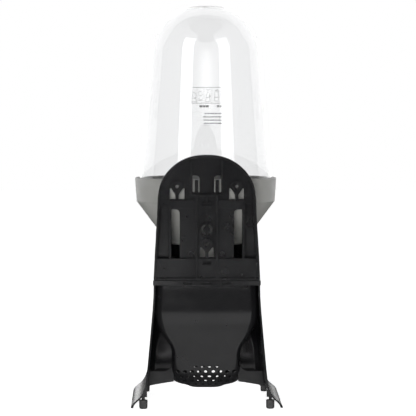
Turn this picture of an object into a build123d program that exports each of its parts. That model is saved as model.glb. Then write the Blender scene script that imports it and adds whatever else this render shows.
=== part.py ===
from build123d import *
from math import cos, hypot, radians, sin, tan
import os

# Gravity-type automatic pet feeder: a clear hopper on a grey funnel collar, in a black stand
# with a chute and bowl. Millimetres, +Z up, front towards -Y. The origin is on the floor,
# under the middle of the object. Depths are measured forward from the rear rim plane.

os.makedirs("parts", exist_ok=True)

# ---------------------------------------------------------------- driving dimensions
REAR_Y = 89.0               # rear rim plane of the stand
AXIS_DEPTH = 97.0           # hopper axis, forward of the rear plane
AXIS_Y = REAR_Y - AXIS_DEPTH
WALL = 2.0                  # moulded wall
GAP = 0.3                   # clearance between bodies

# hopper dome
DOME_TOP = 449.5
DOME_BASE_Z = 240.0
DOME_BASE_R = 77.3
SHOULDER_Z = 400.0
SHOULDER_R = 62.3
DOME_DRAFT = (DOME_BASE_R - SHOULDER_R) / (SHOULDER_Z - DOME_BASE_Z)
CROWN_CURVE = [(57.9, 415.0), (50.3, 428.6), (41.7, 437.6), (27.5, 446.2)]
LUG_R = 79.0
LUG_Z = 241.5
LUG_H = 3.0
LUG_ARC = 10.0
LUG_TURNS = (65.0, 185.0, 305.0)
TWIST = 25.0                # bayonet turn in degrees

# funnel collar
COLLAR_R = 81.0
COLLAR_TOP = 254.0
COLLAR_LOW_R = 79.5
COLLAR_LOW_Z = 227.0
GROOVE_R = 78.0
RING_R = 73.0               # ring wall inside the groove
GROOVE_Z = 238.5
CONE_SLOPE = tan(radians(36.6))
CONE_END_Z = 180.0
SPOUT_R = 30.0
SPOUT_BOTTOM = 155.0

# label on the front of the dome
LABEL_Z = (312.0, 361.0)
LABEL_ARC = 44.0
LABEL_T = 0.2

# stand: back plate
PLATE_BOTTOM = 143.3
ARCH_Z = 225.0              # springing of the arch
# right edge of the plate, from its foot to the crown of its arch
PLATE_EDGE = [
    (58.9, PLATE_BOTTOM),
    (57.2, 178.0),
    (54.7, 220.0),
    (50.6, 251.0),
    (40.6, 266.0),
    (22.5, 277.9),
    (0.0, 281.6),
]
FLOOR_DEPTH = 11.0          # rear face of the plate's floor
PLATE_DEPTH = FLOOR_DEPTH + WALL
RIM = 2.3
POCKET_DEPTH = 24.0         # floor of the two side pockets
POCKET_Z = (167.0, 227.0)
POCKET_X = 42.0
BAND_DEPTH = 5.0            # rear face of the smooth lower band
BAND_TOP = 167.0
RIB = 2.2
RIB_X = 11.4
HOOK_WALL_X = 17.0
LEDGE_Z = 238.0
BOSS_R = 6.6
FIX_HOLE_R = 1.9            # wall-fixing screw holes
FIX_X = 32.9
FIX_Z = 246.4
LOW_FIX_Z = 182.6
RING_Z = 198.6
PLATE_SCREW_X = 17.3
PLATE_SCREW_Z = 171.6

# stand: cowl and base
SPLIT_Z = 142.5             # cowl and base meet
COWL_TOP = 198.0
COWL_REAR = PLATE_DEPTH + GAP
COWL_LOW = (58.2, 155.2, 57.0)      # half width, front depth, corner radius
COWL_HIGH = (56.4, 153.4, 55.2)
LIP_Z = 78.0
MOUTH_HALF = 46.0
MOUTH_TOP = 155.0
MOUTH_R = 18.0
# height, half width, front depth, corner radius of the base shell
BASE_STATIONS = [
    (1.5, 84.4, 160.0, 18.0),
    (5.5, 82.6, 158.4, 18.0),
    (10.5, 77.4, 155.6, 18.0),
    (17.5, 71.4, 152.2, 16.0),
    (27.0, 67.9, 150.0, 11.0),
    (44.0, 66.0, 150.2, 9.0),
    (71.0, 63.5, 152.8, 13.0),
    (99.0, 61.0, 155.2, 28.0),
    (SPLIT_Z, 58.8, 155.2, 57.0),
]
FRONT_ARCH = (70.0, 30.0)   # half span and rise of the arch under the front wall
FLARE_COUNT = 5             # stations that shape the flared foot of the shell
BAR_Z = 137.5               # underside of the rear cross bar
BAR_HALF = 59.5
SNAP_X = 21.5
SNAP_HALF = 4.5
MID_SNAP_HALF = 5.5
SNAP_Z = (139.0, 141.0)
SIDE_BOSS = (52.6, 60.0)    # x and depth of the side screws

# bowl and chute: height, half width, rear depth, front depth, front and rear corner radii
BOWL_STATIONS = [
    (12.3, 9.0, 92.5, 107.5, 7.0, 6.0),
    (14.5, 21.5, 85.0, 115.0, 14.0, 10.0),
    (17.0, 30.0, 80.0, 120.0, 19.0, 12.0),
    (20.5, 36.6, 75.0, 125.0, 22.0, 13.0),
    (30.0, 38.6, 66.3, 133.5, 25.0, 12.0),
    (45.0, 38.8, 56.5, 138.0, 29.0, 10.0),
    (61.0, 39.6, 46.1, 142.0, 32.0, 9.0),
    (76.0, 47.8, 36.4, 145.0, 36.0, 9.0),
    (90.0, 55.0, 27.3, 147.0, 43.0, 9.0),
    (108.0, 57.4, 21.4, 146.5, 48.0, 9.0),
    (122.0, 57.0, 20.6, 146.2, 51.0, 9.0),
    (137.0, 56.4, 20.0, 146.0, 54.0, 9.0),
]
DISH_Z = 30.0               # below this the bowl turns into its dished bottom
CHUTE_TOP = 137.0
SCOOP_DEPTH = 97.0          # front edge of the chute's side walls
TROUGH_DEPTH = 100.0
TROUGH_Z = 51.6
TROUGH_R = 40.0
HOLE_R = 2.25
HOLE_TURN = 11.0            # degrees between rows of holes
# first row in steps from the bottom, number of rows, pitch, half the steps in the widest row
REAR_HOLES = (0.75, 7, 8.0, 4)
FRONT_HOLES = (0.31, 6, 9.6, 3)
TOP_ROW = 6                 # short last row at the rear
TOP_COLUMNS = 1.5
WEB_DEPTH = 72.0
WEB_TOP = 33.4
WEB_LOW = 21.2              # lower edge of the web beside the bowl

# feet
REAR_FOOT = (70.4, 6.0)     # x and depth
FRONT_FOOT = (69.0, 142.5)
REAR_FOOT_R = 4.75
FRONT_FOOT_R = 3.9
FOOT_H = 10.0
STEM_R = 1.8
STEM_Z = (5.0, 17.0)
GUSSET_X = (66.3, 69.1)

# flow plate and gate
DECK_Z = 158.0
DECK_T = 2.2
DECK_SCREW = (52.2, 97.0)   # x and depth of the deck screws
SLOPE_DEPTH = 133.0
SLOPE_ANGLE = 50.0          # flow plate above the horizontal
SLOPE_LENGTH = 74.5
FLOW_HALF = 42.0            # outside of the skirts
FAN_HALF = 53.0             # lower part of the flow plate, inside the chute
FAN_Z = 134.0
SKIRT_DEPTH = 25.0          # rear skirt
SKIRT_LOW = 132.0
GATE_HALF = 34.0
GATE_T = 2.0
GATE_LIFT = 0.5             # clearance under and beside the gate
GATE_LENGTH = 56.0
KNOB_Y = -52.0


def rear_plane(depth):
    """XZ plane at a depth forward of the rear rim; extrusions run towards the front."""
    return Plane.XZ.offset(depth - REAR_Y)


def flat_plane(z):
    return Plane.XY.offset(z)


def axis_plane(turn):
    """Upright half plane through the hopper axis, turned about it by an angle in degrees."""
    a = radians(turn)
    return Plane((0, AXIS_Y, 0), x_dir=(cos(a), sin(a), 0), z_dir=(sin(a), -cos(a), 0))


def slope_plane():
    """Front face of the flow plate: x across, y up the slope, z out towards the mouth."""
    a = radians(SLOPE_ANGLE)
    origin = (0, REAR_Y - SLOPE_DEPTH, DECK_Z)
    return Plane(origin, x_dir=(1, 0, 0), z_dir=(0, -sin(a), -cos(a)))


HOPPER_AXIS = Axis((0, AXIS_Y, 0), (0, 0, 1))


def rounded_plan(half, rear, front, front_r, rear_r):
    """Plan outline with its own corner radii at the front and at the rear."""
    rear_y = REAR_Y - rear
    front_y = REAR_Y - front
    inner_f = half - front_r
    inner_r = half - rear_r
    with BuildSketch() as plan:
        with BuildLine():
            Line((half, rear_y - rear_r), (half, front_y + front_r))
            CenterArc((inner_f, front_y + front_r), front_r, 270, 90)
            Line((inner_f, front_y), (-inner_f, front_y))
            CenterArc((-inner_f, front_y + front_r), front_r, 180, 90)
            Line((-half, front_y + front_r), (-half, rear_y - rear_r))
            CenterArc((-inner_r, rear_y - rear_r), rear_r, 90, 90)
            Line((-inner_r, rear_y), (inner_r, rear_y))
            CenterArc((inner_r, rear_y - rear_r), rear_r, 0, 90)
        make_face()
    return plan.sketch


def d_plan(half, rear, front, radius):
    """Plan outline with square rear corners and round front corners."""
    rear_y = REAR_Y - rear
    front_y = REAR_Y - front
    inner = half - radius
    with BuildSketch() as plan:
        with BuildLine():
            Line((-half, rear_y), (half, rear_y))
            Line((half, rear_y), (half, front_y + radius))
            CenterArc((inner, front_y + radius), radius, 270, 90)
            Line((inner, front_y), (-inner, front_y))
            CenterArc((-inner, front_y + radius), radius, 180, 90)
            Line((-half, front_y + radius), (-half, rear_y))
        make_face()
    return plan.sketch


def at_height(z, plan):
    """A plan outline lifted to a height."""
    with BuildSketch(flat_plane(z)) as lifted:
        add(plan)
    return lifted.sketch


def ring_sector(inner, outer, z, height, start, arc, mode=Mode.ADD):
    """Part of a ring about the hopper axis, added to the part being built."""
    turns = [radians(start + arc * k) for k in (0, 0.5, 1)]
    rim = [(outer * cos(t), AXIS_Y + outer * sin(t)) for t in turns]
    with BuildSketch(flat_plane(z)) as pie:
        with BuildLine():
            Line((0, AXIS_Y), rim[0])
            ThreePointArc(*rim)
            Line(rim[2], (0, AXIS_Y))
        make_face()
        with Locations((0, AXIS_Y)):
            Circle(inner, mode=Mode.SUBTRACT)
    extrude(pie.sketch, amount=height, mode=mode)


def pillar(plane, centres, radius, length, mode=Mode.ADD):
    """Round bosses or holes at several centres of one plane."""
    with BuildSketch(plane) as circles:
        with Locations(*centres):
            Circle(radius)
    extrude(circles.sketch, amount=length, mode=mode)


def both(x, y):
    """A point and its mirror image across the middle."""
    return [(x, y), (-x, y)]


def screw(plane, head_r, head_h, shank_r, shank_l):
    """Pan-head screw with a cross recess; the head stands on the plane."""
    with BuildSketch(plane) as head:
        Circle(head_r)
    extrude(head.sketch, amount=head_h, taper=12)
    with BuildSketch(plane) as shank:
        Circle(shank_r)
    extrude(shank.sketch, amount=-shank_l)
    with BuildSketch(plane.offset(head_h)) as recess:
        Rectangle(head_r * 1.1, head_r * 0.28)
        Rectangle(head_r * 0.28, head_r * 1.1)
    extrude(recess.sketch, amount=-head_h * 0.55, mode=Mode.SUBTRACT)


def save(builder, name):
    builder.part.label = name
    export_step(builder.part, f"parts/{name}.step")


# ---------------------------------------------------------------- hopper dome
with BuildPart() as hopper_dome:
    with BuildSketch(axis_plane(0)):
        with BuildLine():
            for inset in (0, WALL):
                base = (DOME_BASE_R - inset, DOME_BASE_Z)
                shoulder = (SHOULDER_R - inset, SHOULDER_Z)
                crown = [(r - inset * 0.9, z - inset * 0.5) for r, z in CROWN_CURVE]
                Line(base, shoulder)
                start = (SHOULDER_R - DOME_BASE_R, SHOULDER_Z - DOME_BASE_Z)
                Spline(shoulder, *crown, (0, DOME_TOP - inset), tangents=(start, (-1, 0)))
            Line((DOME_BASE_R - WALL, DOME_BASE_Z), (DOME_BASE_R, DOME_BASE_Z))
            Line((0, DOME_TOP - WALL), (0, DOME_TOP))
        make_face()
    revolve(axis=HOPPER_AXIS)
    for turn in LUG_TURNS:
        ring_sector(DOME_BASE_R - 1.0, LUG_R, LUG_Z, LUG_H, turn - LUG_ARC / 2, LUG_ARC)
save(hopper_dome, "hopper_dome")

# ---------------------------------------------------------------- instruction label
with BuildPart() as instruction_label:
    with BuildSketch(axis_plane(-90 - LABEL_ARC / 2)):
        with BuildLine():
            skin = [DOME_BASE_R - (z - DOME_BASE_Z) * DOME_DRAFT + 0.05 for z in LABEL_Z]
            Polyline(
                (skin[0], LABEL_Z[0]),
                (skin[0] + LABEL_T, LABEL_Z[0]),
                (skin[1] + LABEL_T, LABEL_Z[1]),
                (skin[1], LABEL_Z[1]),
                close=True,
            )
        make_face()
    revolve(axis=HOPPER_AXIS, revolution_arc=LABEL_ARC)
save(instruction_label, "instruction_label")


# ---------------------------------------------------------------- funnel collar
def cone_r(z):
    """Outer radius of the funnel cone at a height."""
    return COLLAR_LOW_R - (COLLAR_LOW_Z - z) * CONE_SLOPE


SKIN = WALL / cos(radians(36.6))    # horizontal thickness of the cone's wall
INNER_R = RING_R - WALL
INNER_Z = COLLAR_LOW_Z - (COLLAR_LOW_R - INNER_R - SKIN) / CONE_SLOPE
CONE_END_R = cone_r(CONE_END_Z)

with BuildPart() as funnel_collar:
    with BuildSketch(axis_plane(0)):
        with BuildLine():
            Polyline(
                (SPOUT_R - WALL, SPOUT_BOTTOM),
                (SPOUT_R - WALL, CONE_END_Z - 1),
                (CONE_END_R - SKIN, CONE_END_Z + 1.5),
                (INNER_R, INNER_Z),
                (INNER_R, GROOVE_Z + 7.5),
                (RING_R, GROOVE_Z + 7.5),
                (RING_R, GROOVE_Z),
                (GROOVE_R, GROOVE_Z),
                (GROOVE_R, COLLAR_TOP - 1),
                (GROOVE_R + 0.8, COLLAR_TOP),
                (COLLAR_R - 1.6, COLLAR_TOP),
            )
            RadiusArc((COLLAR_R - 1.6, COLLAR_TOP), (COLLAR_R, COLLAR_TOP - 1.6), 1.6)
            Polyline(
                (COLLAR_R, COLLAR_TOP - 1.6),
                (COLLAR_LOW_R, COLLAR_LOW_Z),
                (CONE_END_R + 1, CONE_END_Z + 1 / CONE_SLOPE),
            )
            RadiusArc(
                (CONE_END_R + 1, CONE_END_Z + 1 / CONE_SLOPE),
                (CONE_END_R - 3, CONE_END_Z - 2.2),
                4.0,
            )
            Polyline(
                (CONE_END_R - 3, CONE_END_Z - 2.2),
                (SPOUT_R, CONE_END_Z - 3.2),
                (SPOUT_R, SPOUT_BOTTOM),
                (SPOUT_R - WALL, SPOUT_BOTTOM),
            )
        make_face()
    revolve(axis=HOPPER_AXIS)
    slack = 0.6
    slot_h = LUG_H + 1.0
    for turn in LUG_TURNS:
        first = turn - LUG_ARC / 2 - slack
        width = LUG_ARC + 2 * slack
        ring_sector(75.5, LUG_R + GAP, LUG_Z - 0.5, slot_h, first, width + TWIST, Mode.SUBTRACT)
        ring_sector(75.5, LUG_R + GAP, LUG_Z, 20, first + TWIST, width, Mode.SUBTRACT)
save(funnel_collar, "funnel_collar")


# ---------------------------------------------------------------- back plate
def plate_outline(inset=0.0):
    """Arched outline of the back plate, its sides and arch moved inward by inset."""
    edge = []
    for x, z in PLATE_EDGE:
        rise = max(0, z - ARCH_Z)
        size = hypot(x, rise)
        edge.append((x - inset * x / size, z - inset * rise / size))
    with BuildSketch() as outline:
        with BuildLine():
            right = Spline(*edge, tangents=((-0.05, 1), (-1, 0)))
            mirror(right, about=Plane.YZ)
            Line((-edge[0][0], edge[0][1]), edge[0])
        make_face()
    return outline.sketch


def plate_block(depth, thickness, x0, x1, z0, z1, mode=Mode.ADD, sides=(1, -1)):
    """Box on the back plate, from a depth forward, repeated on the other side."""
    with BuildSketch(rear_plane(depth)) as block:
        for side in sides:
            with Locations((side * (x0 + x1) / 2, (z0 + z1) / 2)):
                Rectangle(x1 - x0, z1 - z0)
    extrude(block.sketch, amount=thickness, mode=mode)


def fixing_boss(x, z, stem):
    """Round wall-fixing boss with a tapered web and a stem below it."""
    with BuildSketch(rear_plane(3)) as boss:
        with Locations((x, z)):
            Circle(BOSS_R)
        with BuildLine():
            Polyline(
                (x - BOSS_R * 0.86, z - BOSS_R * 0.5),
                (x + BOSS_R * 0.86, z - BOSS_R * 0.5),
                (x + 1.8, z - BOSS_R * 1.35),
                (x + 1.8, z - stem),
                (x - 1.8, z - stem),
                (x - 1.8, z - BOSS_R * 1.35),
                close=True,
            )
        make_face()
    extrude(boss.sketch, amount=PLATE_DEPTH - 3)
    pillar(rear_plane(0), [(x, z)], FIX_HOLE_R, PLATE_DEPTH + 5, Mode.SUBTRACT)
    pillar(rear_plane(0), [(x, z)], BOSS_R * 0.58, 5.5, Mode.SUBTRACT)


def outline_zone(depth, inset, z0, z1, inside=0.0, radius=0.0):
    """The plate's outline between two heights, optionally only outside a half width."""
    with BuildSketch(rear_plane(depth)) as zone:
        add(plate_outline(inset))
        with Locations((0, (z0 + z1) / 2)):
            Rectangle(140, z1 - z0, mode=Mode.INTERSECT)
            if inside:
                Rectangle(2 * inside, 2 * (z1 - z0), mode=Mode.SUBTRACT)
        if radius:
            fillet(zone.vertices().group_by(Axis.Y)[-1], radius=radius)
    return zone.sketch


def rounded_slots(x0, x1, z0, z1, radius):
    """Two slots through the plate's floor, each with its upper inner corner rounded."""
    with BuildSketch(rear_plane(8)) as slots:
        for side in (1, -1):
            with Locations((side * (x0 + x1) / 2, (z0 + z1) / 2)):
                Rectangle(x1 - x0, z1 - z0)
        top = slots.vertices().group_by(Axis.Y)[-1].sort_by(Axis.X)
        fillet(top[1:3], radius=radius)
    extrude(slots.sketch, amount=10, mode=Mode.SUBTRACT)


CUT = Mode.SUBTRACT
MIDDLE = (1,)               # a block that spans the middle is made once

with BuildPart() as back_plate:
    # tray with a rim, its floor towards the front
    with BuildSketch(rear_plane(0)):
        add(plate_outline())
    extrude(amount=PLATE_DEPTH)
    pocket_low, pocket_high = POCKET_Z
    deep = outline_zone(
        FLOOR_DEPTH, 0.0, pocket_low - WALL, pocket_high + WALL, POCKET_X - WALL
    )
    extrude(deep, amount=POCKET_DEPTH + WALL - FLOOR_DEPTH)
    # hollow of the tray, shallow over the smooth band, deep in the side pockets
    extrude(outline_zone(0, RIM, BAND_TOP, 300), amount=FLOOR_DEPTH, mode=CUT)
    extrude(outline_zone(0, RIM, PLATE_BOTTOM + RIM, BAND_TOP), amount=BAND_DEPTH, mode=CUT)
    band_z = (PLATE_BOTTOM + WALL, BAND_TOP - WALL)
    plate_block(BAND_DEPTH + WALL, 8, 1.5, 55, *band_z, CUT)
    pocket = outline_zone(0, RIM + 1.0, pocket_low, pocket_high, POCKET_X, 3.0)
    extrude(pocket, amount=POCKET_DEPTH, mode=CUT)
    # long rails, walls of the top pocket, upright ribs and the raised cross band
    plate_block(0, FLOOR_DEPTH, RIB_X - RIB / 2, RIB_X + RIB / 2, PLATE_BOTTOM, LEDGE_Z)
    plate_block(0, FLOOR_DEPTH, HOOK_WALL_X - 0.8, HOOK_WALL_X + 0.8, LEDGE_Z - 1.5, 276)
    plate_block(1.5, FLOOR_DEPTH, 39.2, POCKET_X - 0.2, *POCKET_Z)
    plate_block(5, FLOOR_DEPTH - 4, RIB_X, 41, 222.5, 231.5)
    ledge = (-HOOK_WALL_X, HOOK_WALL_X, LEDGE_Z - 1.5, LEDGE_Z + 0.2)
    plate_block(0, FLOOR_DEPTH, *ledge, sides=MIDDLE)
    # windows and slots through the floor
    plate_block(8, 20, 24.6, 41, 232.4, 244.5, CUT)
    rounded_slots(30, 39, 167, 221, 4.5)
    rounded_slots(8, 15.8, 240.1, 258.5, 3.5)
    plate_block(8, 10, -7.7, 7.7, 168, 179, CUT, MIDDLE)
    plate_block(0, 20, -4.4, 4.4, 160.6, 164, CUT, MIDDLE)
    plate_block(3.5, 3, -4.6, 4.6, 159.2, 160.6, sides=MIDDLE)
    # hook ribs standing in the hook slots
    plate_block(7, PLATE_DEPTH - 7, 9.4, 13.4, 238.5, 254)
    # channel fittings
    plate_block(5.5, FLOOR_DEPTH - 5, -0.9, 0.9, 204, LEDGE_Z, sides=MIDDLE)
    for bar_z in (224.2, 227.4):
        plate_block(3.5, FLOOR_DEPTH - 3, -5.5, 5.5, bar_z, bar_z + 1.6, sides=MIDDLE)
    pillar(rear_plane(2), [(0, RING_Z)], 7.6, FLOOR_DEPTH - 1)
    pillar(rear_plane(0), [(0, RING_Z)], 6.3, 20, CUT)
    pillar(rear_plane(4), [(0, RING_Z)], 4.2, PLATE_DEPTH - 4)
    plate_block(4, PLATE_DEPTH - 4, -1.8, 1.8, RING_Z - 6.8, RING_Z + 6.8, sides=MIDDLE)
    # wall-fixing bosses
    fixing_boss(FIX_X, FIX_Z, 14.2)
    fixing_boss(-FIX_X, FIX_Z, 14.2)
    fixing_boss(0, LOW_FIX_Z, 15.0)
    # clearance holes of the assembly screws
    pillar(rear_plane(8), both(PLATE_SCREW_X, PLATE_SCREW_Z), 1.7, 10, CUT)
save(back_plate, "back_plate")


# ---------------------------------------------------------------- front cowl
def mouth_cut():
    """Arched feeding mouth through the front walls."""
    edge = LIP_Z + MOUTH_R
    inner = MOUTH_HALF - MOUTH_R
    spring = SPLIT_Z - 6
    with BuildSketch(rear_plane(AXIS_DEPTH)) as mouth:
        with BuildLine():
            ThreePointArc((-MOUTH_HALF, spring), (0, MOUTH_TOP), (MOUTH_HALF, spring))
            Line((MOUTH_HALF, spring), (MOUTH_HALF, edge))
            CenterArc((inner, edge), MOUTH_R, 270, 90)
            Line((inner, LIP_Z), (-inner, LIP_Z))
            CenterArc((-inner, edge), MOUTH_R, 180, 90)
            Line((-MOUTH_HALF, edge), (-MOUTH_HALF, spring))
        make_face()
    extrude(mouth.sketch, amount=80, mode=CUT)


DECK_SCREWS = both(DECK_SCREW[0], REAR_Y - DECK_SCREW[1])
SIDE_BOSSES = both(SIDE_BOSS[0], REAR_Y - SIDE_BOSS[1])
PLATE_SCREWS = both(PLATE_SCREW_X, PLATE_SCREW_Z)
PILOT_R = 1.45

with BuildPart() as front_cowl:
    ends = ((SPLIT_Z, COWL_LOW, -0.01), (COWL_TOP, COWL_HIGH, 0.01))
    outer = [at_height(z, d_plan(h, COWL_REAR, f, r)) for z, (h, f, r), _ in ends]
    loft(outer, ruled=True)
    inner = [
        at_height(z + past, d_plan(h - WALL, COWL_REAR - 5, f - WALL, r - WALL))
        for z, (h, f, r), past in ends
    ]
    loft(inner, ruled=True, mode=CUT)
    # cross frame behind the back plate, with two screw tabs
    with BuildSketch(rear_plane(COWL_REAR)):
        with Locations((0, (SPLIT_Z + 165) / 2)):
            Rectangle(114, 165 - SPLIT_Z)
        with Locations(*both(PLATE_SCREW_X, 168)):
            Rectangle(8, 14)
    extrude(amount=WALL)
    pillar(rear_plane(COWL_REAR), PLATE_SCREWS, 3.2, 8)
    # screw bosses on the inside of the walls, and all pilot holes
    pillar(flat_plane(DECK_Z + DECK_T), DECK_SCREWS, 4, 14)
    pillar(flat_plane(SPLIT_Z), SIDE_BOSSES, 4, 11)
    pillar(rear_plane(0), PLATE_SCREWS, PILOT_R, COWL_REAR + 9, CUT)
    pillar(flat_plane(DECK_Z), DECK_SCREWS, PILOT_R, 13, CUT)
    pillar(flat_plane(SPLIT_Z), SIDE_BOSSES, PILOT_R, 9.5, CUT)
    # notch behind which the deep side pockets of the back plate stand
    notch_low = POCKET_Z[0] - WALL - GAP
    notch_deep = POCKET_DEPTH + WALL + GAP
    plate_block(COWL_REAR - 1, notch_deep - COWL_REAR + 1, POCKET_X, 60, notch_low, 200, CUT)
    # bevelled seat for the funnel
    seat_low = 175
    seat_high = COWL_TOP + 4
    with BuildSketch(axis_plane(0)):
        with BuildLine():
            Polyline(
                (0, seat_low),
                (cone_r(seat_low) + 0.45, seat_low),
                (cone_r(seat_high) + 0.45, seat_high),
                (0, seat_high),
                close=True,
            )
        make_face()
    revolve(axis=HOPPER_AXIS, mode=CUT)
    mouth_cut()
save(front_cowl, "front_cowl")

# ---------------------------------------------------------------- base shell
BASE_LOW = BASE_STATIONS[0][0]


def base_section(station, inset):
    """One plan section of the base shell; the inner ones run past both ends."""
    z, half, front, radius = station
    flare = 0.8 * (z < 20)
    if not inset:
        return at_height(z, d_plan(half, 0, front, radius))
    past = {BASE_LOW: -0.5, SPLIT_Z: 0.5}.get(z, 0)
    plan = d_plan(half - inset - flare, -5, front - inset, radius - inset)
    return at_height(z + past, plan)


with BuildPart() as base_shell:
    for stations in (BASE_STATIONS[:FLARE_COUNT], BASE_STATIONS[FLARE_COUNT - 1:]):
        loft([base_section(station, 0) for station in stations])
    for stations in (BASE_STATIONS[:FLARE_COUNT], BASE_STATIONS[FLARE_COUNT - 1:]):
        loft([base_section(station, WALL) for station in stations], mode=CUT)
    mouth_cut()
    # arch under the front wall
    with BuildSketch(rear_plane(115)):
        with BuildLine():
            ThreePointArc((-FRONT_ARCH[0], 0), (0, FRONT_ARCH[1]), (FRONT_ARCH[0], 0))
            Line((FRONT_ARCH[0], 0), (-FRONT_ARCH[0], 0))
        make_face()
    extrude(amount=60, mode=CUT)
    # rear cross bar with its ledge and snap windows
    plate_block(0, 2.4, -BAR_HALF, BAR_HALF, BAR_Z, 143, sides=MIDDLE)
    plate_block(0, 12.5, -57.5, 57.5, SPLIT_Z - 1.6, SPLIT_Z, sides=MIDDLE)
    plate_block(-1, 3.4, -MID_SNAP_HALF, MID_SNAP_HALF, *SNAP_Z, CUT, MIDDLE)
    plate_block(-1, 3.4, SNAP_X - SNAP_HALF, SNAP_X + SNAP_HALF, *SNAP_Z, CUT)
    # screw tabs and foot stems
    with BuildSketch(flat_plane(SPLIT_Z - 2.5)):
        with Locations(*both(54, REAR_Y - SIDE_BOSS[1])):
            Rectangle(11, 12)
    extrude(amount=2.5)
    pillar(flat_plane(SPLIT_Z - 4), SIDE_BOSSES, 1.7, 5, CUT)
    for x, depth in (REAR_FOOT, FRONT_FOOT):
        pillar(flat_plane(STEM_Z[0]), both(x, REAR_Y - depth), STEM_R, STEM_Z[1] - STEM_Z[0])
        plate_block(depth - 1.5, 3, *GUSSET_X, STEM_Z[1] - 4, STEM_Z[1] + 4)
save(base_shell, "base_shell")


# ---------------------------------------------------------------- feed bowl
def bowl_section(station, inset):
    """One plan section of the bowl; the inner ones rise off the dished bottom."""
    z, half, rear, front, front_r, rear_r = station
    dish = min(1, max(0, (DISH_Z - z) / (DISH_Z - BOWL_STATIONS[0][0])))
    side = inset * (1 - 0.8 * dish)
    top = 1.5 if inset and z == CHUTE_TOP else 0
    plan = rounded_plan(half - side, rear + side, front - side, front_r - side, rear_r - side)
    return at_height(z + inset * dish + top, plan)


def hole_planes():
    """Planes of the drain holes, square to the trough's round bottom, in staggered rows."""
    start = TROUGH_R - 7
    for side, (first, rows, pitch, widest) in ((1, REAR_HOLES), (-1, FRONT_HOLES)):
        for row in range(rows):
            turn = radians(side * HOLE_TURN * (row + first))
            out_y = sin(turn)
            out_z = -cos(turn)
            columns = widest if (row % 2) == (side > 0) else widest - 0.5
            if row == TOP_ROW:
                columns = TOP_COLUMNS
            for k in range(int(2 * columns) + 1):
                x = (k - columns) * pitch
                centre = (x, REAR_Y - TROUGH_DEPTH + start * out_y, TROUGH_Z + start * out_z)
                yield Plane(centre, x_dir=(1, 0, 0), z_dir=(0, out_y, out_z))


SNAP_ARM = [
    (21.5, CHUTE_TOP - 2),
    (3.4, CHUTE_TOP - 2),
    (3.4, SNAP_Z[1] - 0.3),
    (5.4, SNAP_Z[1] - 0.3),
    (5.4, CHUTE_TOP),
    (21.5, CHUTE_TOP),
]

with BuildPart() as feed_bowl:
    loft([bowl_section(station, 0) for station in BOWL_STATIONS])
    loft([bowl_section(station, WALL) for station in BOWL_STATIONS], mode=CUT)
    # open front above the rim, swept down from the chute's side walls
    with BuildSketch(Plane.YZ):
        with BuildLine():
            Polyline(
                (REAR_Y - 200, LIP_Z),
                (REAR_Y - SCOOP_DEPTH - 22, LIP_Z),
                (REAR_Y - SCOOP_DEPTH - 5, LIP_Z + 10),
                (REAR_Y - SCOOP_DEPTH, LIP_Z + 26),
                (REAR_Y - SCOOP_DEPTH, 150),
                (REAR_Y - 200, 150),
                close=True,
            )
        make_face()
    extrude(amount=90, both=True, mode=CUT)
    # turned-out rim round the front of the bowl
    with BuildSketch(flat_plane(LIP_Z - WALL)):
        add(rounded_plan(51.5, 33, 150.5, 39, 18))
        add(rounded_plan(47.2, 37, 146, 35, 18), mode=CUT)
        with Locations((0, REAR_Y - 45)):
            Rectangle(140, 130, mode=CUT)
    extrude(amount=WALL)
    # side webs that brace the bowl against the base
    web_side = 38.4
    web_bend = 10.6
    with BuildSketch(rear_plane(WEB_DEPTH)):
        with BuildLine():
            ThreePointArc((67.2, 16.0), (52.5, WEB_LOW - 2.4), (web_side - 1.6, WEB_LOW))
            Polyline(
                (web_side - 1.6, WEB_LOW),
                (web_side - 1.6, WEB_TOP + web_bend),
                (web_side, WEB_TOP + web_bend),
            )
            CenterArc((web_side + web_bend, WEB_TOP + web_bend), web_bend, 180, 90)
            Polyline(
                (web_side + web_bend, WEB_TOP),
                (64.6, WEB_TOP),
                (65.2, 27),
                (67.2, 16.0),
            )
        make_face()
        mirror(about=Plane.YZ)
    extrude(amount=WALL)
    # snap arms that reach up into the windows of the cross bar
    for x, room in ((0, MID_SNAP_HALF), (SNAP_X, SNAP_HALF), (-SNAP_X, SNAP_HALF)):
        half = room - 0.5
        with BuildSketch(Plane.YZ.offset(x - half)):
            with BuildLine():
                Polyline(*[(REAR_Y - depth, z) for depth, z in SNAP_ARM], close=True)
            make_face()
        extrude(amount=2 * half)
    # slanted noses of the two outer arms, showing in their windows
    nose_half = SNAP_HALF - 0.5
    with BuildSketch(flat_plane(SNAP_Z[0] + GAP)):
        with BuildLine():
            Polyline(
                (SNAP_X - nose_half, REAR_Y - 4),
                (SNAP_X - nose_half, REAR_Y - 0.6),
                (SNAP_X + nose_half, REAR_Y - 3.3),
                (SNAP_X + nose_half, REAR_Y - 4),
                close=True,
            )
        make_face()
        mirror(about=Plane.YZ)
    extrude(amount=SNAP_Z[1] - SNAP_Z[0] - 2 * GAP)
    # drain holes in the bottom
    with Locations(*hole_planes()):
        Cylinder(HOLE_R, 18, mode=CUT)
save(feed_bowl, "feed_bowl")

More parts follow.
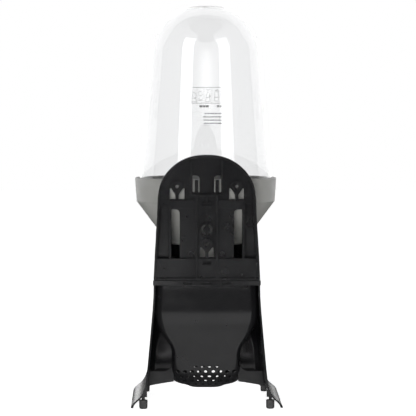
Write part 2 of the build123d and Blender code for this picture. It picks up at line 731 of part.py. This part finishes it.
# ---------------------------------------------------------------- flow plate
with BuildPart() as feed_baffle:
    with BuildSketch(flat_plane(DECK_Z)):
        add(d_plan(55.1, COWL_REAR + WALL + GAP, 152.0, 53.8))
        with Locations((0, AXIS_Y)):
            Circle(SPOUT_R + 1.2, mode=CUT)
        with Locations(*DECK_SCREWS):
            Circle(1.7, mode=CUT)
    extrude(amount=DECK_T)
    # sloping flow plate, narrow between the skirts and wide down in the chute
    fan_y = (FAN_Z - DECK_Z) / sin(radians(SLOPE_ANGLE))
    with BuildSketch(slope_plane()):
        with Locations((0, 1.5 - (SLOPE_LENGTH + 1.5) / 2)):
            Rectangle(2 * FLOW_HALF, SLOPE_LENGTH + 1.5)
        with Locations((0, (fan_y - SLOPE_LENGTH) / 2)):
            Rectangle(2 * FAN_HALF, fan_y + SLOPE_LENGTH)
    extrude(amount=-DECK_T)
    # rear and side skirts that close the passage down into the chute
    with BuildSketch(rear_plane(SKIRT_DEPTH)):
        with Locations((0, (SKIRT_LOW + DECK_Z + 1) / 2)):
            Rectangle(2 * FLOW_HALF, DECK_Z + 1 - SKIRT_LOW)
    extrude(amount=WALL)
    slope_run = 1 / tan(radians(SLOPE_ANGLE))
    for x in (FLOW_HALF - WALL, -FLOW_HALF):
        with BuildSketch(Plane.YZ.offset(x)):
            with BuildLine():
                Polyline(
                    (REAR_Y - SKIRT_DEPTH, SKIRT_LOW),
                    (REAR_Y - SKIRT_DEPTH, DECK_Z + 1),
                    (REAR_Y - SLOPE_DEPTH, DECK_Z + 1),
                    (REAR_Y - SLOPE_DEPTH + (DECK_Z - SKIRT_LOW) * slope_run, SKIRT_LOW),
                    close=True,
                )
            make_face()
        extrude(amount=WALL)
    # guide rails of the gate
    rail_x = GATE_HALF + GATE_LIFT
    rail_lip = GATE_LIFT * 2 + GATE_T
    for side in (1, -1):
        with BuildSketch(slope_plane()):
            with Locations((side * (rail_x + 1), -41)):
                Rectangle(2, 62)
        extrude(amount=rail_lip + 1.5)
        with BuildSketch(slope_plane().offset(rail_lip)):
            with Locations((side * rail_x, -41)):
                Rectangle(4, 62)
        extrude(amount=1.5)
save(feed_baffle, "feed_baffle")

# ---------------------------------------------------------------- flow gate and its grip
with BuildPart() as flow_gate:
    with BuildSketch(slope_plane().offset(GATE_LIFT)):
        with Locations((0, -20 - GATE_LENGTH / 2)):
            Rectangle(2 * GATE_HALF, GATE_LENGTH)
        fillet(vertices().group_by(Axis.Y)[0], radius=6)
    extrude(amount=GATE_T)
    with BuildSketch(slope_plane().offset(GATE_LIFT + GATE_T)):
        with Locations((0, KNOB_Y)):
            Rectangle(20, 2.4)
    extrude(amount=6)
save(flow_gate, "flow_gate")

with BuildPart() as gate_knob:
    with BuildSketch(slope_plane().offset(GATE_LIFT + GATE_T + 0.1)):
        with Locations((0, KNOB_Y)):
            RectangleRounded(26, 8, 3)
    extrude(amount=9, taper=6)
    with BuildSketch(slope_plane().offset(GATE_LIFT + GATE_T)):
        with Locations((0, KNOB_Y)):
            Rectangle(20.4, 2.8)
    extrude(amount=6.4, mode=Mode.SUBTRACT)
    outward = Axis((0, 0, 0), slope_plane().z_dir)
    fillet(faces().sort_by(outward)[-1].edges(), radius=0.8)
save(gate_knob, "gate_knob")


# ---------------------------------------------------------------- feet
def foot(name, radius, x, depth):
    """Rubber cap pushed over a stem, with a rounded sole."""
    with BuildPart() as cap:
        with BuildSketch(Plane((x, REAR_Y - depth, 0), x_dir=(1, 0, 0), z_dir=(0, -1, 0))):
            with BuildLine():
                Polyline((0, 0), (radius - 1.6, 0))
                Spline(
                    (radius - 1.6, 0),
                    (radius - 0.4, 0.9),
                    (radius - 0.1, 3.0),
                    tangents=((1, 0), (0.05, 1)),
                )
                Polyline(
                    (radius - 0.1, 3.0),
                    (radius, FOOT_H - 0.7),
                    (radius - 0.7, FOOT_H),
                    (STEM_R + 0.15, FOOT_H),
                    (STEM_R + 0.15, STEM_Z[0] - 0.2),
                    (0, STEM_Z[0] - 0.2),
                    (0, 0),
                )
            make_face()
        revolve(axis=Axis((x, REAR_Y - depth, 0), (0, 0, 1)))
    save(cap, name)


for side, word in ((1, "left"), (-1, "right")):
    foot(f"rear_foot_{word}", REAR_FOOT_R, side * REAR_FOOT[0], REAR_FOOT[1])
    foot(f"front_foot_{word}", FRONT_FOOT_R, side * FRONT_FOOT[0], FRONT_FOOT[1])

# ---------------------------------------------------------------- screws
with BuildPart() as plate_screws:
    for side in (1, -1):
        seat = (side * PLATE_SCREW_X, REAR_Y - FLOOR_DEPTH, PLATE_SCREW_Z)
        screw(Plane(seat, x_dir=(-1, 0, 0), z_dir=(0, 1, 0)), 2.7, 1.8, 1.4, 9.5)
save(plate_screws, "plate_screws")

with BuildPart() as deck_screws:
    for side in (1, -1):
        seat = (side * DECK_SCREW[0], REAR_Y - DECK_SCREW[1], DECK_Z)
        screw(Plane(seat, x_dir=(1, 0, 0), z_dir=(0, 0, -1)), 2.7, 1.8, 1.4, 12)
save(deck_screws, "deck_screws")

with BuildPart() as side_screws:
    for side in (1, -1):
        seat = (side * SIDE_BOSS[0], REAR_Y - SIDE_BOSS[1], SPLIT_Z - 2.5)
        screw(Plane(seat, x_dir=(1, 0, 0), z_dir=(0, 0, -1)), 2.2, 1.6, 1.4, 11)
save(side_screws, "side_screws")
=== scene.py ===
import math

import bpy
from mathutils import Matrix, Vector


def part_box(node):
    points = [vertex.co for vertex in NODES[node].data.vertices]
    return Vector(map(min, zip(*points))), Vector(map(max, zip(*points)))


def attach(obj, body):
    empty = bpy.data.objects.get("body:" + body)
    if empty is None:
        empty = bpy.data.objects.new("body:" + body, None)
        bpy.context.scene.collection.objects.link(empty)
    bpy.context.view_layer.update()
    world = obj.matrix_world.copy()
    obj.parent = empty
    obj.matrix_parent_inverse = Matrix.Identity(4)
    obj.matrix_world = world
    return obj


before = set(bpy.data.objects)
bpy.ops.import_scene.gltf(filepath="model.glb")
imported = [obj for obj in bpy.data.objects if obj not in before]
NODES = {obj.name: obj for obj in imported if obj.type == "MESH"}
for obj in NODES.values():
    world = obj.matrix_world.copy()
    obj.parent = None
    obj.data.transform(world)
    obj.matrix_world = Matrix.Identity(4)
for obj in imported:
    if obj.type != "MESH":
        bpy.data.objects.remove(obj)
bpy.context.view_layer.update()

# A gravity pet feeder seen from behind. Metres, +Z up, the back plate towards +Y. The shapes
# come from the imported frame; this script gives them smooth shading and a finish, and adds the
# label's print, the floor, the lights and the camera.

MM = 0.001

# ---------------------------------------------------------------- camera
STAND_BACK_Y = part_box("back_plate")[1].y
CAMERA_DISTANCE = 2.2
CAMERA_TURN = math.radians(0.9)     # off the middle, towards +X
CAMERA_HEIGHT = 0.33
AIM = Vector((-0.0012, STAND_BACK_Y, 0.2231))
FRAME_WIDTH = 0.4576                # width of the picture at the back plate
SENSOR = 36.0

camera_data = bpy.data.cameras.new("photo_camera")
camera = bpy.data.objects.new("photo_camera", camera_data)
bpy.context.scene.collection.objects.link(camera)
bpy.context.scene.camera = camera
camera.location = AIM + Vector((
    math.sin(CAMERA_TURN) * CAMERA_DISTANCE,
    math.cos(CAMERA_TURN) * CAMERA_DISTANCE,
    CAMERA_HEIGHT - AIM.z,
))
camera.rotation_mode = "QUATERNION"
camera.rotation_quaternion = (AIM - camera.location).to_track_quat("-Z", "Y")
camera_data.sensor_width = SENSOR
camera_data.lens = SENSOR * CAMERA_DISTANCE / FRAME_WIDTH
camera_data.clip_start = 0.05
camera_data.clip_end = 50


# ---------------------------------------------------------------- material helpers
class Finish:
    """A node material built up from a Principled shader."""

    def __init__(self, name, **sockets):
        self.material = bpy.data.materials.new(name)
        self.material.use_nodes = True
        self.tree = self.material.node_tree
        self.tree.nodes.clear()
        output = self.node("ShaderNodeOutputMaterial")
        self.shader = self.node("ShaderNodeBsdfPrincipled")
        self.link(self.shader.outputs["BSDF"], output.inputs["Surface"])
        for socket, value in sockets.items():
            self.shader.inputs[socket.replace("_", " ")].default_value = value
        self.place = self.node("ShaderNodeTexCoord").outputs["Object"]

    def node(self, kind, **values):
        made = self.tree.nodes.new(kind)
        for key, value in values.items():
            if hasattr(made, key):
                setattr(made, key, value)
            else:
                made.inputs[key.replace("_", " ")].default_value = value
        return made

    def link(self, out, into):
        self.tree.links.new(out, into)

    def stretched(self, scale):
        """Object coordinates scaled differently along each axis."""
        mapping = self.node("ShaderNodeMapping")
        mapping.inputs["Scale"].default_value = scale
        self.link(self.place, mapping.inputs["Vector"])
        return mapping.outputs["Vector"]

    def noise(self, scale, detail=2.0, place=None):
        made = self.node("ShaderNodeTexNoise", Scale=scale, Detail=detail)
        self.link(place or self.place, made.inputs["Vector"])
        return made.outputs["Fac"]

    def ramp(self, factor, stops):
        """Colour ramp; stops are (position, colour)."""
        made = self.node("ShaderNodeValToRGB")
        while len(made.color_ramp.elements) < len(stops):
            made.color_ramp.elements.new(0.5)
        for element, (position, colour) in zip(made.color_ramp.elements, stops):
            element.position = position
            element.color = (*colour, 1)
        self.link(factor, made.inputs["Fac"])
        return made.outputs["Color"]

    def between(self, factor, low, high):
        """A number that follows a texture between two values."""
        made = self.node("ShaderNodeMapRange", From_Min=0.3, From_Max=0.7, To_Min=low, To_Max=high)
        self.link(factor, made.inputs["Value"])
        return made.outputs["Result"]

    def surface(self, height, strength, depth, edge=0.0):
        """Bump from a texture, over softly rounded edges."""
        bump = self.node("ShaderNodeBump", Strength=strength, Distance=depth)
        self.link(height, bump.inputs["Height"])
        if edge:
            rounded = self.node("ShaderNodeBevel", samples=6, Radius=edge)
            self.link(rounded.outputs["Normal"], bump.inputs["Normal"])
        self.link(bump.outputs["Normal"], self.shader.inputs["Normal"])


def moulded(name, dark, light, rough, grain, edge):
    """Injection-moulded plastic: a slow tone, a slow gloss and a fine grain."""
    made = Finish(name, IOR=1.5)
    tone = made.ramp(made.noise(38, 3), [(0.35, dark), (0.65, light)])
    made.link(tone, made.shader.inputs["Base Color"])
    gloss = made.between(made.noise(70, 4), *rough)
    made.link(gloss, made.shader.inputs["Roughness"])
    made.surface(made.noise(1800, 2), grain, 0.05 * MM, edge)
    return made.material


BLACK = moulded(
    "satin_black", (0.0035, 0.0035, 0.004), (0.006, 0.006, 0.0065), (0.20, 0.28), 0.2, 0.8 * MM
)
GLOSS_BLACK = moulded(
    "gloss_black", (0.003, 0.003, 0.0035), (0.005, 0.005, 0.0055), (0.13, 0.2), 0.12, 0.9 * MM
)
BLACK_SOFT = moulded(
    "matt_black", (0.006, 0.006, 0.0065), (0.010, 0.010, 0.0105), (0.38, 0.48), 0.35, 0.4 * MM
)
GREY = moulded(
    "warm_grey", (0.172, 0.172, 0.163), (0.19, 0.19, 0.18), (0.36, 0.46), 0.3, 0.5 * MM
)


def clear_plastic():
    made = Finish("clear_plastic", IOR=1.49, Transmission_Weight=1.0)
    made.shader.inputs["Base Color"].default_value = (0.94, 0.942, 0.945, 1)
    haze = made.between(made.noise(9, 5, made.stretched((1, 1, 0.25))), 0.015, 0.035)
    made.link(haze, made.shader.inputs["Roughness"])
    flow = made.noise(26, 2, made.stretched((1, 1, 0.12)))
    made.surface(flow, 0.06, 0.3 * MM)
    return made.material


def label_film():
    made = Finish("label_film", IOR=1.45, Transmission_Weight=1.0)
    made.shader.inputs["Base Color"].default_value = (0.98, 0.98, 0.98, 1)
    haze = made.between(made.noise(400, 2), 0.02, 0.06)
    made.link(haze, made.shader.inputs["Roughness"])
    return made.material


def print_ink():
    made = Finish("print_ink", Roughness=0.55)
    tone = made.ramp(made.noise(900, 3), [(0.3, (0.05, 0.05, 0.052)), (0.7, (0.09, 0.09, 0.093))])
    made.link(tone, made.shader.inputs["Base Color"])
    return made.material


def foot_rubber():
    made = Finish("foot_rubber", IOR=1.45)
    stops = [(0.35, (0.018, 0.018, 0.019)), (0.65, (0.035, 0.034, 0.034))]
    tone = made.ramp(made.noise(300, 4), stops)
    made.link(tone, made.shader.inputs["Base Color"])
    gloss = made.between(made.noise(500, 2), 0.6, 0.78)
    made.link(gloss, made.shader.inputs["Roughness"])
    made.surface(made.noise(1500, 3), 0.4, 0.08 * MM, 0.4 * MM)
    return made.material


def screw_steel():
    made = Finish("screw_steel", Metallic=1.0)
    tone = made.ramp(made.noise(700, 4), [(0.35, (0.07, 0.07, 0.075)), (0.65, (0.13, 0.13, 0.135))])
    made.link(tone, made.shader.inputs["Base Color"])
    gloss = made.between(made.noise(1200, 2), 0.25, 0.4)
    made.link(gloss, made.shader.inputs["Roughness"])
    made.surface(made.noise(2500, 2), 0.3, 0.03 * MM, 0.2 * MM)
    return made.material


CLEAR = clear_plastic()
FILM = label_film()
INK = print_ink()
RUBBER = foot_rubber()
STEEL = screw_steel()

FINISHES = {
    "hopper_dome": CLEAR,
    "instruction_label": FILM,
    "funnel_collar": GREY,
    "back_plate": BLACK,
    "front_cowl": BLACK,
    "base_shell": GLOSS_BLACK,
    "feed_bowl": BLACK,
    "feed_baffle": BLACK_SOFT,
    "flow_gate": GREY,
    "gate_knob": BLACK_SOFT,
    "rear_foot_left": RUBBER,
    "rear_foot_right": RUBBER,
    "front_foot_left": RUBBER,
    "front_foot_right": RUBBER,
    "plate_screws": STEEL,
    "deck_screws": STEEL,
    "side_screws": STEEL,
}


# ---------------------------------------------------------------- smooth shading of the frame
def smooth_group(limit):
    """Geometry nodes that join split vertices and shade smooth below an edge angle."""
    group = bpy.data.node_groups.new("smooth_below_angle", "GeometryNodeTree")
    group.interface.new_socket("Geometry", in_out="INPUT", socket_type="NodeSocketGeometry")
    group.interface.new_socket("Geometry", in_out="OUTPUT", socket_type="NodeSocketGeometry")
    add = group.nodes.new
    source = add("NodeGroupInput")
    result = add("NodeGroupOutput")
    merge = add("GeometryNodeMergeByDistance")
    merge.inputs["Distance"].default_value = 0.002 * MM
    angle = add("GeometryNodeInputMeshEdgeAngle")
    soft = add("FunctionNodeCompare")
    soft.data_type = "FLOAT"
    soft.operation = "LESS_THAN"
    soft.inputs[1].default_value = limit
    faces = add("GeometryNodeSetShadeSmooth")
    faces.domain = "FACE"
    edges = add("GeometryNodeSetShadeSmooth")
    edges.domain = "EDGE"
    link = group.links.new
    link(source.outputs[0], merge.inputs["Geometry"])
    link(merge.outputs["Geometry"], faces.inputs["Geometry"])
    link(faces.outputs["Geometry"], edges.inputs["Geometry"])
    link(angle.outputs["Unsigned Angle"], soft.inputs[0])
    link(soft.outputs["Result"], edges.inputs["Shade Smooth"])
    link(edges.outputs["Geometry"], result.inputs[0])
    return group


SMOOTH_BELOW = math.radians(28)
SMOOTH = smooth_group(SMOOTH_BELOW)
for name, finish in FINISHES.items():
    node = NODES[name]
    node.data.materials.clear()
    node.data.materials.append(finish)
    if "custom_normal" in node.data.attributes:
        node.data.attributes.remove(node.data.attributes["custom_normal"])
    smoother = node.modifiers.new("smooth", "NODES")
    smoother.node_group = SMOOTH


# ---------------------------------------------------------------- mesh helpers
def mesh_piece(name, points, faces, finish, body=None):
    """A mesh object; it rides on a body when one is named."""
    mesh = bpy.data.meshes.new(name)
    mesh.from_pydata(points, [], faces)
    mesh.materials.append(finish)
    mesh.validate()
    piece = bpy.data.objects.new(name, mesh)
    bpy.context.scene.collection.objects.link(piece)
    if body:
        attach(piece, body)
    return piece


# ---------------------------------------------------------------- print on the label
DOME_LOW, DOME_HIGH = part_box("hopper_dome")
LABEL_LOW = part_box("instruction_label")[0]
AXIS_Y = (DOME_LOW.y + DOME_HIGH.y) / 2
LABEL_FACE = AXIS_Y - LABEL_LOW.y           # radius of the film at its lower edge
DRAFT = math.tan(math.radians(5.36))
PRINT_LIFT = 0.05 * MM
HAIR = 0.3                                  # widths of the printed lines, in millimetres
LINE = 0.35
BAR_STEP = 3                                # longest straight piece of a bar round the dome
RING_STEPS = 16


def on_label(x, z):
    """A point of the print: x across as the front sees it, z up, both in millimetres."""
    height = z * MM
    radius = LABEL_FACE - (height - LABEL_LOW.z) * DRAFT + PRINT_LIFT
    turn = x * MM / radius
    return (radius * math.sin(turn), AXIS_Y - radius * math.cos(turn), height)


class Print:
    """Collects flat strokes and patches of ink, bent round the dome."""

    def __init__(self):
        self.points = []
        self.faces = []

    def patch(self, outline):
        start = len(self.points)
        self.points += [on_label(x, z) for x, z in outline]
        self.faces.append(list(range(start, start + len(outline))))

    def stroke(self, path, width):
        """A line of even width along a path, one quad for each step."""
        for (x0, z0), (x1, z1) in zip(path, path[1:]):
            length = math.hypot(x1 - x0, z1 - z0)
            side_x = -(z1 - z0) / length * width / 2
            side_z = (x1 - x0) / length * width / 2
            self.patch([
                (x0 - side_x, z0 - side_z),
                (x1 - side_x, z1 - side_z),
                (x1 + side_x, z1 + side_z),
                (x0 + side_x, z0 + side_z),
            ])

    def bar(self, x0, x1, z, height):
        """A level bar, in short pieces so that it follows the dome."""
        steps = max(1, round((x1 - x0) / BAR_STEP))
        low, high = z - height / 2, z + height / 2
        for k in range(steps):
            a = x0 + (x1 - x0) * k / steps
            b = x0 + (x1 - x0) * (k + 1) / steps
            self.patch([(a, low), (b, low), (b, high), (a, high)])

    def ring(self, x, z, radius, width, start=0, end=360):
        """An arc of a circle, between two turns in degrees."""
        steps = range(RING_STEPS + 1)
        turns = [math.radians(start + (end - start) * k / RING_STEPS) for k in steps]
        path = [(x + radius * math.cos(t), z + radius * math.sin(t)) for t in turns]
        self.stroke(path, width)


def feeder_icon(ink, x, z, tall):
    """Small outline of a hopper over a bowl."""
    ink.stroke([(x - 2.2, z), (x - 1.9, z + tall - 2)], LINE)
    ink.stroke([(x + 2.2, z), (x + 1.9, z + tall - 2)], LINE)
    ink.ring(x, z + tall - 2, 1.9, LINE, 0, 180)
    ink.stroke([(x - 2.6, z), (x + 2.6, z)], 0.5)
    ink.stroke([(x - 2.0, z), (x - 3.0, z - 4.5), (x + 3.0, z - 4.5), (x + 2.0, z)], LINE)


PICTURE_LEFT = -19.6        # the row of pictures, across the front of the dome
PICTURE_RIGHT = 17.0
PICTURE_LOW = 339.0
PICTURE_HIGH = 357.6
CELL_EDGES = (-8.6, 1.0, 9.6)

pictures = Print()
for z in (PICTURE_LOW, PICTURE_HIGH):
    pictures.bar(PICTURE_LEFT, PICTURE_RIGHT, z, 0.55)
for x in (PICTURE_LEFT, *CELL_EDGES, PICTURE_RIGHT):
    pictures.stroke([(x, PICTURE_LOW), (x, PICTURE_HIGH)], HAIR)
feeder_icon(pictures, -14.2, 346.0, 8.5)
pictures.ring(-15.0, 353.5, 1.5, HAIR)
feeder_icon(pictures, -3.8, 345.5, 6.5)
pictures.stroke([(-6.8, 356.0), (-3.8, 354.2), (-0.8, 356.0)], LINE)
pictures.ring(5.2, 350.5, 2.6, LINE, 200, 500)
pictures.stroke([(2.2, 342.2), (8.4, 342.2)], LINE)
pictures.ring(5.2, 345.0, 2.2, LINE, 180, 360)
feeder_icon(pictures, 13.2, 345.0, 7.0)
pictures.bar(-7.0, -5.0, 347.2, 1.0)

CAPTION_SPANS = ((-4.6, -1.2), (-0.6, 2.4), (3.0, 6.4), (-20.2, -18.2), (-17.4, -14.6))
CAPTION_Z = 335.4
CAPTION_TALL = 2.6
LINE_RIGHTS = ((326.8, 0.4), (322.9, 2.2), (319.0, 1.4), (315.3, 1.0))
LINE_LEFT = -20.8
LINE_TALL = 1.3
WORD_WIDTHS = (4.6, 3.2, 5.4, 2.6, 4.0)
WORD_GAP = 0.7

captions = Print()
for x0, x1 in CAPTION_SPANS:
    captions.bar(x0, x1, CAPTION_Z, CAPTION_TALL)
for z, right in LINE_RIGHTS:
    x = LINE_LEFT
    for width in WORD_WIDTHS:
        end = min(x + width, right)
        if end > x:
            captions.bar(x, end, z, LINE_TALL)
        x = end + WORD_GAP

for name, ink in (("label_pictures", pictures), ("label_captions", captions)):
    mesh_piece(name, ink.points, ink.faces, INK, "dome")


# ---------------------------------------------------------------- floor, light and surroundings
FLOOR_R = 6.0
FLOOR_GLOW = 0.92           # the floor's own light
RIM_STEPS = 96


def glowing(name, roughness, strength):
    """A finish that gives off white light."""
    return Finish(
        name,
        Roughness=roughness,
        Emission_Color=(1, 1, 1, 1),
        Emission_Strength=strength,
    )


def floor_finish():
    made = glowing("pale_floor", 0.9, FLOOR_GLOW)
    tone = made.ramp(made.noise(3, 3), [(0.3, (0.95, 0.95, 0.95)), (0.7, (0.97, 0.97, 0.97))])
    made.link(tone, made.shader.inputs["Base Color"])
    return made.material


def disc(name, radius, z, finish):
    turns = [2 * math.pi * k / RIM_STEPS for k in range(RIM_STEPS)]
    rim = [(radius * math.cos(t), radius * math.sin(t), z) for t in turns]
    return mesh_piece(name, rim, [list(range(len(rim)))], finish)


floor = disc("floor", FLOOR_R, 0.0, floor_finish())
floor.visible_glossy = False

ROOM_LIGHT = 0.12           # strength of the surroundings as a light
ROOM_GLOSS = 0.1            # and as seen in reflections
BACKDROP = 1.0              # and as seen behind and through the object


def studio_world():
    """White behind and through the object, dimmer where it lights, dark where it mirrors."""
    world = bpy.data.worlds.new("studio")
    world.use_nodes = True
    tree = world.node_tree
    tree.nodes.clear()
    path = tree.nodes.new("ShaderNodeLightPath")
    output = tree.nodes.new("ShaderNodeOutputWorld")
    layers = []
    for strength in (ROOM_LIGHT, ROOM_GLOSS, BACKDROP):
        layer = tree.nodes.new("ShaderNodeBackground")
        layer.inputs["Color"].default_value = (1, 1, 1, 1)
        layer.inputs["Strength"].default_value = strength
        layers.append(layer.outputs["Background"])
    seen = tree.nodes.new("ShaderNodeMath")
    seen.operation = "MAXIMUM"
    tree.links.new(path.outputs["Is Camera Ray"], seen.inputs[0])
    tree.links.new(path.outputs["Is Transmission Ray"], seen.inputs[1])
    light, gloss, backdrop = layers
    shade = light
    mixes = ((path.outputs["Is Glossy Ray"], gloss), (seen.outputs["Value"], backdrop))
    for factor, layer in mixes:
        mix = tree.nodes.new("ShaderNodeMixShader")
        tree.links.new(factor, mix.inputs["Fac"])
        tree.links.new(shade, mix.inputs[1])
        tree.links.new(layer, mix.inputs[2])
        shade = mix.outputs["Shader"]
    tree.links.new(shade, output.inputs["Surface"])
    bpy.context.scene.world = world


studio_world()

LIGHT_AIM = Vector((0, 0, 0.3))
SOFTBOX_TURN = 41           # degrees round from the back plate, to either side
SOFTBOX_DISTANCE = 2.0
SOFTBOX_HEIGHT = 1.1
SOFTBOX_SIZE = (0.95, 1.9)
FILL_TURN = 5
FILL_DISTANCE = 2.3
FILL_HEIGHT = 0.2
FILL_SIZE = (0.5, 0.5)
FILL_POWER = 72


def softbox(name, turn, distance, height, size, power):
    """A soft light round the camera side, facing the feeder."""
    data = bpy.data.lights.new(name, "AREA")
    data.shape = "RECTANGLE"
    data.size, data.size_y = size
    data.energy = power
    light = bpy.data.objects.new(name, data)
    bpy.context.scene.collection.objects.link(light)
    angle = math.radians(turn)
    light.location = (math.sin(angle) * distance, STAND_BACK_Y + math.cos(angle) * distance, height)
    aim = LIGHT_AIM - light.location
    light.rotation_mode = "QUATERNION"
    light.rotation_quaternion = aim.to_track_quat("-Z", "Y")
    light.visible_camera = False
    return light


# two tall boxes, for reflections only
for name, side, power in (("softbox_left", 1, 20), ("softbox_right", -1, 16)):
    box = softbox(name, side * SOFTBOX_TURN, SOFTBOX_DISTANCE, SOFTBOX_HEIGHT, SOFTBOX_SIZE, power)
    box.visible_diffuse = False
# from the camera side, into the slots and windows; not seen in reflections
fill = softbox("fill", FILL_TURN, FILL_DISTANCE, FILL_HEIGHT, FILL_SIZE, FILL_POWER)
fill.visible_glossy = False


def mirror_card(name, corners, finish):
    """A flat card seen only in reflections."""
    data = bpy.data.meshes.new(name)
    data.from_pydata(corners, [], [(0, 1, 2, 3)])
    data.materials.append(finish)
    made = bpy.data.objects.new(name, data)
    bpy.context.scene.collection.objects.link(made)
    made.visible_camera = False
    made.visible_diffuse = False
    made.visible_transmission = False
    made.visible_shadow = False
    return made


def glow_card(name, corners, strength):
    """A bright card seen only in reflections."""
    card = mirror_card(name, corners, glowing(name, 1.0, strength).material)


def floor_card(name, y0, y1, strength):
    """A bright strip lying just over the floor."""
    corners = [
        (-STRIP_HALF, y0, STRIP_Z),
        (STRIP_HALF, y0, STRIP_Z),
        (STRIP_HALF, y1, STRIP_Z),
        (-STRIP_HALF, y1, STRIP_Z),
    ]
    glow_card(name, corners, strength)


def upright(x0, x1, y, z0, z1):
    """Corners of a card that stands parallel to the back plate."""
    return [(x0, y, z0), (x1, y, z0), (x1, y, z1), (x0, y, z1)]


# bright strips that the lower panels, the chute's slope and the grazing edges mirror
STRIP_HALF = 0.5
STRIP_Z = 3 * MM
floor_card("floor_glow", 0.03, 0.12, 0.5)
floor_card("floor_glow_far", 0.12, 0.28, 0.7)

# low cards that the panels beside the chute mirror
PANEL_Y = 1.0
PANEL_TOP = 0.12
for side, x0, x1, strength in (("left", 0.055, 0.14, 2.0), ("right", -0.15, -0.082, 0.9)):
    glow_card("panel_glow_" + side, upright(x0, x1, PANEL_Y, 0.0, PANEL_TOP), strength)

# the backdrop, for reflections
WALL_Y = -1.3
WALL_HALF = 5
WALL_TOP = 5
WALL_GLOW = 0.8
glow_card("backdrop_glow", upright(-WALL_HALF, WALL_HALF, WALL_Y, 0, WALL_TOP), WALL_GLOW)


def flag_cloth():
    made = Finish("flag_cloth", Roughness=1.0)
    tone = made.ramp(made.noise(20, 2), [(0.3, (0.01, 0.01, 0.01)), (0.7, (0.02, 0.02, 0.02))])
    made.link(tone, made.shader.inputs["Base Color"])
    return made.material


# a dark card behind the camera
FLAG_Y = 2.5
FLAG_HALF = 1.1
FLAG_LOW = 0.01
FLAG_TOP = 3.0
flag_corners = upright(-FLAG_HALF, FLAG_HALF, FLAG_Y, FLAG_LOW, FLAG_TOP)
flag = mirror_card("flag", flag_corners, flag_cloth())

bpy.context.scene.view_settings.view_transform = "Standard"
